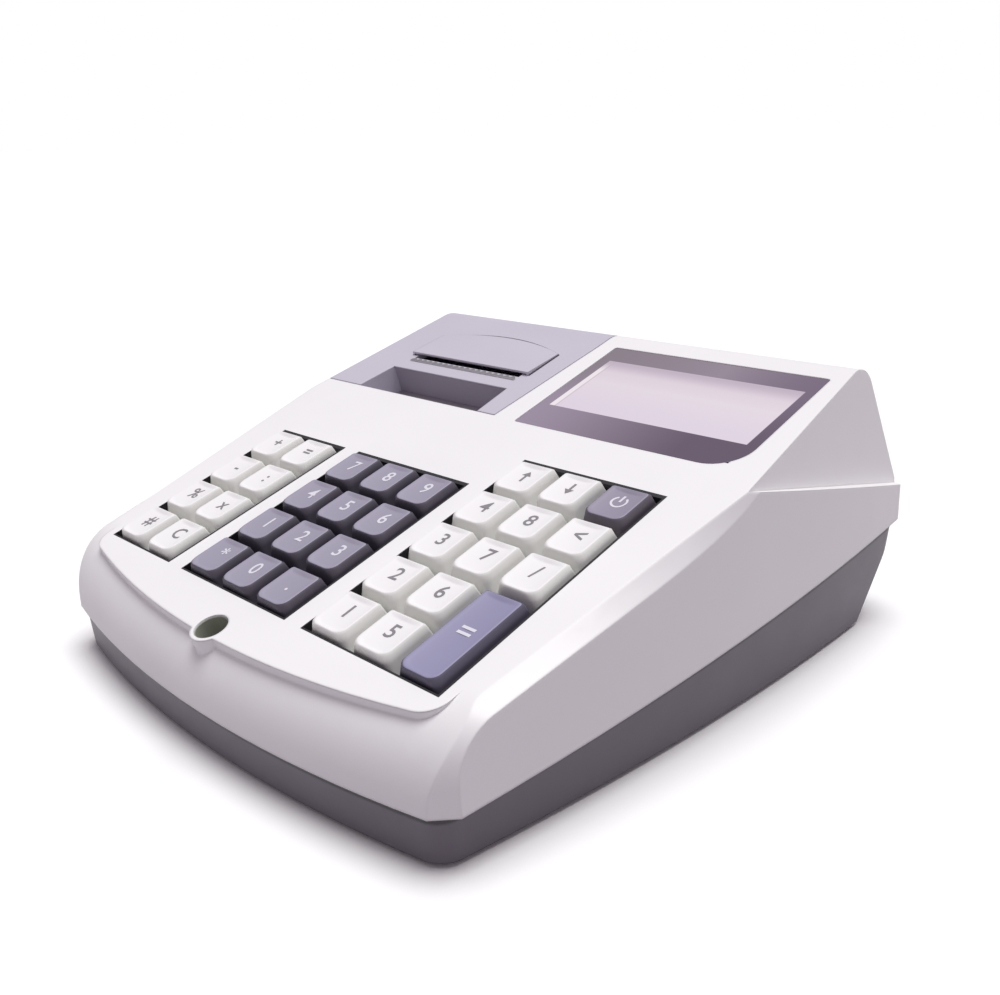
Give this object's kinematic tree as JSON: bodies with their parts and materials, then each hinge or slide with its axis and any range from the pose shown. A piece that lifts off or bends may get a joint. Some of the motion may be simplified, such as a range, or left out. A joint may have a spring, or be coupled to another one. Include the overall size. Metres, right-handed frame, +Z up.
{
  "type": "ticket register",
  "caption": "Portable sloping cash register with a raised keyboard, flush display window and hinged ticket printer cover.",
  "frame": {"origin": "middle of the footprint, on the surface that the feet rest on", "axes": "+X to the operator's right, +Y from the keys to the rear, +Z up"},
  "size_m": [0.2048, 0.221, 0.0895],
  "materials": {
    "case_white": "fine texture",
    "case_charcoal": "fine texture",
    "insert_grey": "satin",
    "lens_tint": "gloss with a printed border",
    "lcd": "gloss",
    "key_white": "satin",
    "key_dark": "satin",
    "key_lilac": "satin",
    "key_grey": "satin",
    "inner_black": "matte",
    "gear_white": "satin",
    "steel": "bright",
    "soft_rubber": "matte",
    "dome_silicone": "matte",
    "board_green": "gloss",
    "cell_wrap": "gloss"
  },
  "bodies": {
    "housing": {"top_housing": "case_white", "bottom_housing": "case_charcoal", "cover_hinge_pin": "steel", "printer_frame": "inner_black", "print_head": "steel", "head_spring": "steel", "feed_motor": "steel", "display_lens": "lens_tint", "lcd_module": "lcd", "display_frame": "inner_black", "key_guide": "inner_black", "dome_mat": "dome_silicone", "keyboard_board": "board_green", "main_board": "board_green", "battery_pack": "cell_wrap", "power_socket": "inner_black", "data_sockets": "inner_black", "feet": "soft_rubber", "case_screws": "steel"},
    "printer_cover": {"printer_cover": "insert_grey", "cover_hood": "insert_grey", "tear_bar": "steel"},
    "platen": {"platen_roller": "soft_rubber", "platen_gear": "gear_white"},
    "idler": {"idler_gear": "gear_white"},
    "pinion": {"motor_pinion": "gear_white"},
    "key_left_c1_r1": {"key_left_c1_r1": "key_white"},
    "key_left_c1_r2": {"key_left_c1_r2": "key_white"},
    "key_left_c1_r3": {"key_left_c1_r3": "key_white"},
    "key_left_c1_r4": {"key_left_c1_r4": "key_white"},
    "key_left_c2_r1": {"key_left_c2_r1": "key_white"},
    "key_left_c2_r2": {"key_left_c2_r2": "key_white"},
    "key_left_c2_r3": {"key_left_c2_r3": "key_white"},
    "key_left_c2_r4": {"key_left_c2_r4": "key_white"},
    "key_middle_c1_r1": {"key_middle_c1_r1": "key_dark"},
    "key_middle_c1_r2": {"key_middle_c1_r2": "key_dark"},
    "key_middle_c1_r3": {"key_middle_c1_r3": "key_dark"},
    "key_middle_c1_r4": {"key_middle_c1_r4": "key_dark"},
    "key_middle_c2_r1": {"key_middle_c2_r1": "key_dark"},
    "key_middle_c2_r2": {"key_middle_c2_r2": "key_dark"},
    "key_middle_c2_r3": {"key_middle_c2_r3": "key_dark"},
    "key_middle_c2_r4": {"key_middle_c2_r4": "key_dark"},
    "key_middle_c3_r1": {"key_middle_c3_r1": "key_dark"},
    "key_middle_c3_r2": {"key_middle_c3_r2": "key_dark"},
    "key_middle_c3_r3": {"key_middle_c3_r3": "key_dark"},
    "key_middle_c3_r4": {"key_middle_c3_r4": "key_dark"},
    "key_right_c1_r1": {"key_right_c1_r1": "key_white"},
    "key_right_c1_r2": {"key_right_c1_r2": "key_white"},
    "key_right_c1_r3": {"key_right_c1_r3": "key_white"},
    "key_right_c1_r4": {"key_right_c1_r4": "key_white"},
    "key_right_c1_r5": {"key_right_c1_r5": "key_white"},
    "key_right_c2_r1": {"key_right_c2_r1": "key_white"},
    "key_right_c2_r2": {"key_right_c2_r2": "key_white"},
    "key_right_c2_r3": {"key_right_c2_r3": "key_white"},
    "key_right_c2_r4": {"key_right_c2_r4": "key_white"},
    "key_right_c2_r5": {"key_right_c2_r5": "key_white"},
    "key_right_c3_r1": {"key_right_c3_r1": "key_lilac"},
    "key_right_c3_r3": {"key_right_c3_r3": "key_white"},
    "key_right_c3_r4": {"key_right_c3_r4": "key_white"},
    "key_right_c3_r5": {"key_right_c3_r5": "key_grey"}
  },
  "joints": [
    {"name": "cover_hinge", "type": "hinge", "parent": "housing", "child": "printer_cover", "pos_m": [-0.049, 0.1017, 0.0467], "axis": [-1, 0, 0], "range_deg": [0, 90]},
    {"name": "platen_spin", "type": "hinge", "parent": "housing", "child": "platen", "pos_m": [-0.049, 0.055, 0.062], "axis": [1, 0, 0], "continuous": true},
    {"name": "idler_spin", "type": "hinge", "parent": "housing", "child": "idler", "pos_m": [-0.082, 0.06538, 0.04967], "axis": [1, 0, 0], "continuous": true},
    {"name": "pinion_spin", "type": "hinge", "parent": "housing", "child": "pinion", "pos_m": [-0.082, 0.054, 0.0455], "axis": [1, 0, 0], "continuous": true},
    {"name": "press_left_c1_r1", "type": "slide", "parent": "housing", "child": "key_left_c1_r1", "axis": [0, 0.2857, -0.9583], "range_m": [0, 0.003], "stiffness_N_per_m": 150, "springref_m": -0.003},
    {"name": "press_left_c1_r2", "type": "slide", "parent": "housing", "child": "key_left_c1_r2", "axis": [0, 0.2857, -0.9583], "range_m": [0, 0.003], "stiffness_N_per_m": 150, "springref_m": -0.003},
    {"name": "press_left_c1_r3", "type": "slide", "parent": "housing", "child": "key_left_c1_r3", "axis": [0, 0.2857, -0.9583], "range_m": [0, 0.003], "stiffness_N_per_m": 150, "springref_m": -0.003},
    {"name": "press_left_c1_r4", "type": "slide", "parent": "housing", "child": "key_left_c1_r4", "axis": [0, 0.2857, -0.9583], "range_m": [0, 0.003], "stiffness_N_per_m": 150, "springref_m": -0.003},
    {"name": "press_left_c2_r1", "type": "slide", "parent": "housing", "child": "key_left_c2_r1", "axis": [0, 0.2857, -0.9583], "range_m": [0, 0.003], "stiffness_N_per_m": 150, "springref_m": -0.003},
    {"name": "press_left_c2_r2", "type": "slide", "parent": "housing", "child": "key_left_c2_r2", "axis": [0, 0.2857, -0.9583], "range_m": [0, 0.003], "stiffness_N_per_m": 150, "springref_m": -0.003},
    {"name": "press_left_c2_r3", "type": "slide", "parent": "housing", "child": "key_left_c2_r3", "axis": [0, 0.2857, -0.9583], "range_m": [0, 0.003], "stiffness_N_per_m": 150, "springref_m": -0.003},
    {"name": "press_left_c2_r4", "type": "slide", "parent": "housing", "child": "key_left_c2_r4", "axis": [0, 0.2857, -0.9583], "range_m": [0, 0.003], "stiffness_N_per_m": 150, "springref_m": -0.003},
    {"name": "press_middle_c1_r1", "type": "slide", "parent": "housing", "child": "key_middle_c1_r1", "axis": [0, 0.2857, -0.9583], "range_m": [0, 0.003], "stiffness_N_per_m": 150, "springref_m": -0.003},
    {"name": "press_middle_c1_r2", "type": "slide", "parent": "housing", "child": "key_middle_c1_r2", "axis": [0, 0.2857, -0.9583], "range_m": [0, 0.003], "stiffness_N_per_m": 150, "springref_m": -0.003},
    {"name": "press_middle_c1_r3", "type": "slide", "parent": "housing", "child": "key_middle_c1_r3", "axis": [0, 0.2857, -0.9583], "range_m": [0, 0.003], "stiffness_N_per_m": 150, "springref_m": -0.003},
    {"name": "press_middle_c1_r4", "type": "slide", "parent": "housing", "child": "key_middle_c1_r4", "axis": [0, 0.2857, -0.9583], "range_m": [0, 0.003], "stiffness_N_per_m": 150, "springref_m": -0.003},
    {"name": "press_middle_c2_r1", "type": "slide", "parent": "housing", "child": "key_middle_c2_r1", "axis": [0, 0.2857, -0.9583], "range_m": [0, 0.003], "stiffness_N_per_m": 150, "springref_m": -0.003},
    {"name": "press_middle_c2_r2", "type": "slide", "parent": "housing", "child": "key_middle_c2_r2", "axis": [0, 0.2857, -0.9583], "range_m": [0, 0.003], "stiffness_N_per_m": 150, "springref_m": -0.003},
    {"name": "press_middle_c2_r3", "type": "slide", "parent": "housing", "child": "key_middle_c2_r3", "axis": [0, 0.2857, -0.9583], "range_m": [0, 0.003], "stiffness_N_per_m": 150, "springref_m": -0.003},
    {"name": "press_middle_c2_r4", "type": "slide", "parent": "housing", "child": "key_middle_c2_r4", "axis": [0, 0.2857, -0.9583], "range_m": [0, 0.003], "stiffness_N_per_m": 150, "springref_m": -0.003},
    {"name": "press_middle_c3_r1", "type": "slide", "parent": "housing", "child": "key_middle_c3_r1", "axis": [0, 0.2857, -0.9583], "range_m": [0, 0.003], "stiffness_N_per_m": 150, "springref_m": -0.003},
    {"name": "press_middle_c3_r2", "type": "slide", "parent": "housing", "child": "key_middle_c3_r2", "axis": [0, 0.2857, -0.9583], "range_m": [0, 0.003], "stiffness_N_per_m": 150, "springref_m": -0.003},
    {"name": "press_middle_c3_r3", "type": "slide", "parent": "housing", "child": "key_middle_c3_r3", "axis": [0, 0.2857, -0.9583], "range_m": [0, 0.003], "stiffness_N_per_m": 150, "springref_m": -0.003},
    {"name": "press_middle_c3_r4", "type": "slide", "parent": "housing", "child": "key_middle_c3_r4", "axis": [0, 0.2857, -0.9583], "range_m": [0, 0.003], "stiffness_N_per_m": 150, "springref_m": -0.003},
    {"name": "press_right_c1_r1", "type": "slide", "parent": "housing", "child": "key_right_c1_r1", "axis": [0, 0.2857, -0.9583], "range_m": [0, 0.003], "stiffness_N_per_m": 150, "springref_m": -0.003},
    {"name": "press_right_c1_r2", "type": "slide", "parent": "housing", "child": "key_right_c1_r2", "axis": [0, 0.2857, -0.9583], "range_m": [0, 0.003], "stiffness_N_per_m": 150, "springref_m": -0.003},
    {"name": "press_right_c1_r3", "type": "slide", "parent": "housing", "child": "key_right_c1_r3", "axis": [0, 0.2857, -0.9583], "range_m": [0, 0.003], "stiffness_N_per_m": 150, "springref_m": -0.003},
    {"name": "press_right_c1_r4", "type": "slide", "parent": "housing", "child": "key_right_c1_r4", "axis": [0, 0.2857, -0.9583], "range_m": [0, 0.003], "stiffness_N_per_m": 150, "springref_m": -0.003},
    {"name": "press_right_c1_r5", "type": "slide", "parent": "housing", "child": "key_right_c1_r5", "axis": [0, 0.2857, -0.9583], "range_m": [0, 0.003], "stiffness_N_per_m": 150, "springref_m": -0.003},
    {"name": "press_right_c2_r1", "type": "slide", "parent": "housing", "child": "key_right_c2_r1", "axis": [0, 0.2857, -0.9583], "range_m": [0, 0.003], "stiffness_N_per_m": 150, "springref_m": -0.003},
    {"name": "press_right_c2_r2", "type": "slide", "parent": "housing", "child": "key_right_c2_r2", "axis": [0, 0.2857, -0.9583], "range_m": [0, 0.003], "stiffness_N_per_m": 150, "springref_m": -0.003},
    {"name": "press_right_c2_r3", "type": "slide", "parent": "housing", "child": "key_right_c2_r3", "axis": [0, 0.2857, -0.9583], "range_m": [0, 0.003], "stiffness_N_per_m": 150, "springref_m": -0.003},
    {"name": "press_right_c2_r4", "type": "slide", "parent": "housing", "child": "key_right_c2_r4", "axis": [0, 0.2857, -0.9583], "range_m": [0, 0.003], "stiffness_N_per_m": 150, "springref_m": -0.003},
    {"name": "press_right_c2_r5", "type": "slide", "parent": "housing", "child": "key_right_c2_r5", "axis": [0, 0.2857, -0.9583], "range_m": [0, 0.003], "stiffness_N_per_m": 150, "springref_m": -0.003},
    {"name": "press_right_c3_r1", "type": "slide", "parent": "housing", "child": "key_right_c3_r1", "axis": [0, 0.2857, -0.9583], "range_m": [0, 0.003], "stiffness_N_per_m": 150, "springref_m": -0.003},
    {"name": "press_right_c3_r3", "type": "slide", "parent": "housing", "child": "key_right_c3_r3", "axis": [0, 0.2857, -0.9583], "range_m": [0, 0.003], "stiffness_N_per_m": 150, "springref_m": -0.003},
    {"name": "press_right_c3_r4", "type": "slide", "parent": "housing", "child": "key_right_c3_r4", "axis": [0, 0.2857, -0.9583], "range_m": [0, 0.003], "stiffness_N_per_m": 150, "springref_m": -0.003},
    {"name": "press_right_c3_r5", "type": "slide", "parent": "housing", "child": "key_right_c3_r5", "axis": [0, 0.2857, -0.9583], "range_m": [0, 0.003], "stiffness_N_per_m": 150, "springref_m": -0.003}
  ],
  "couplings": [
    {"joint": "idler_spin", "follows": "platen_spin", "ratio": -0.77778},
    {"joint": "pinion_spin", "follows": "platen_spin", "ratio": 2.3333}
  ]
}
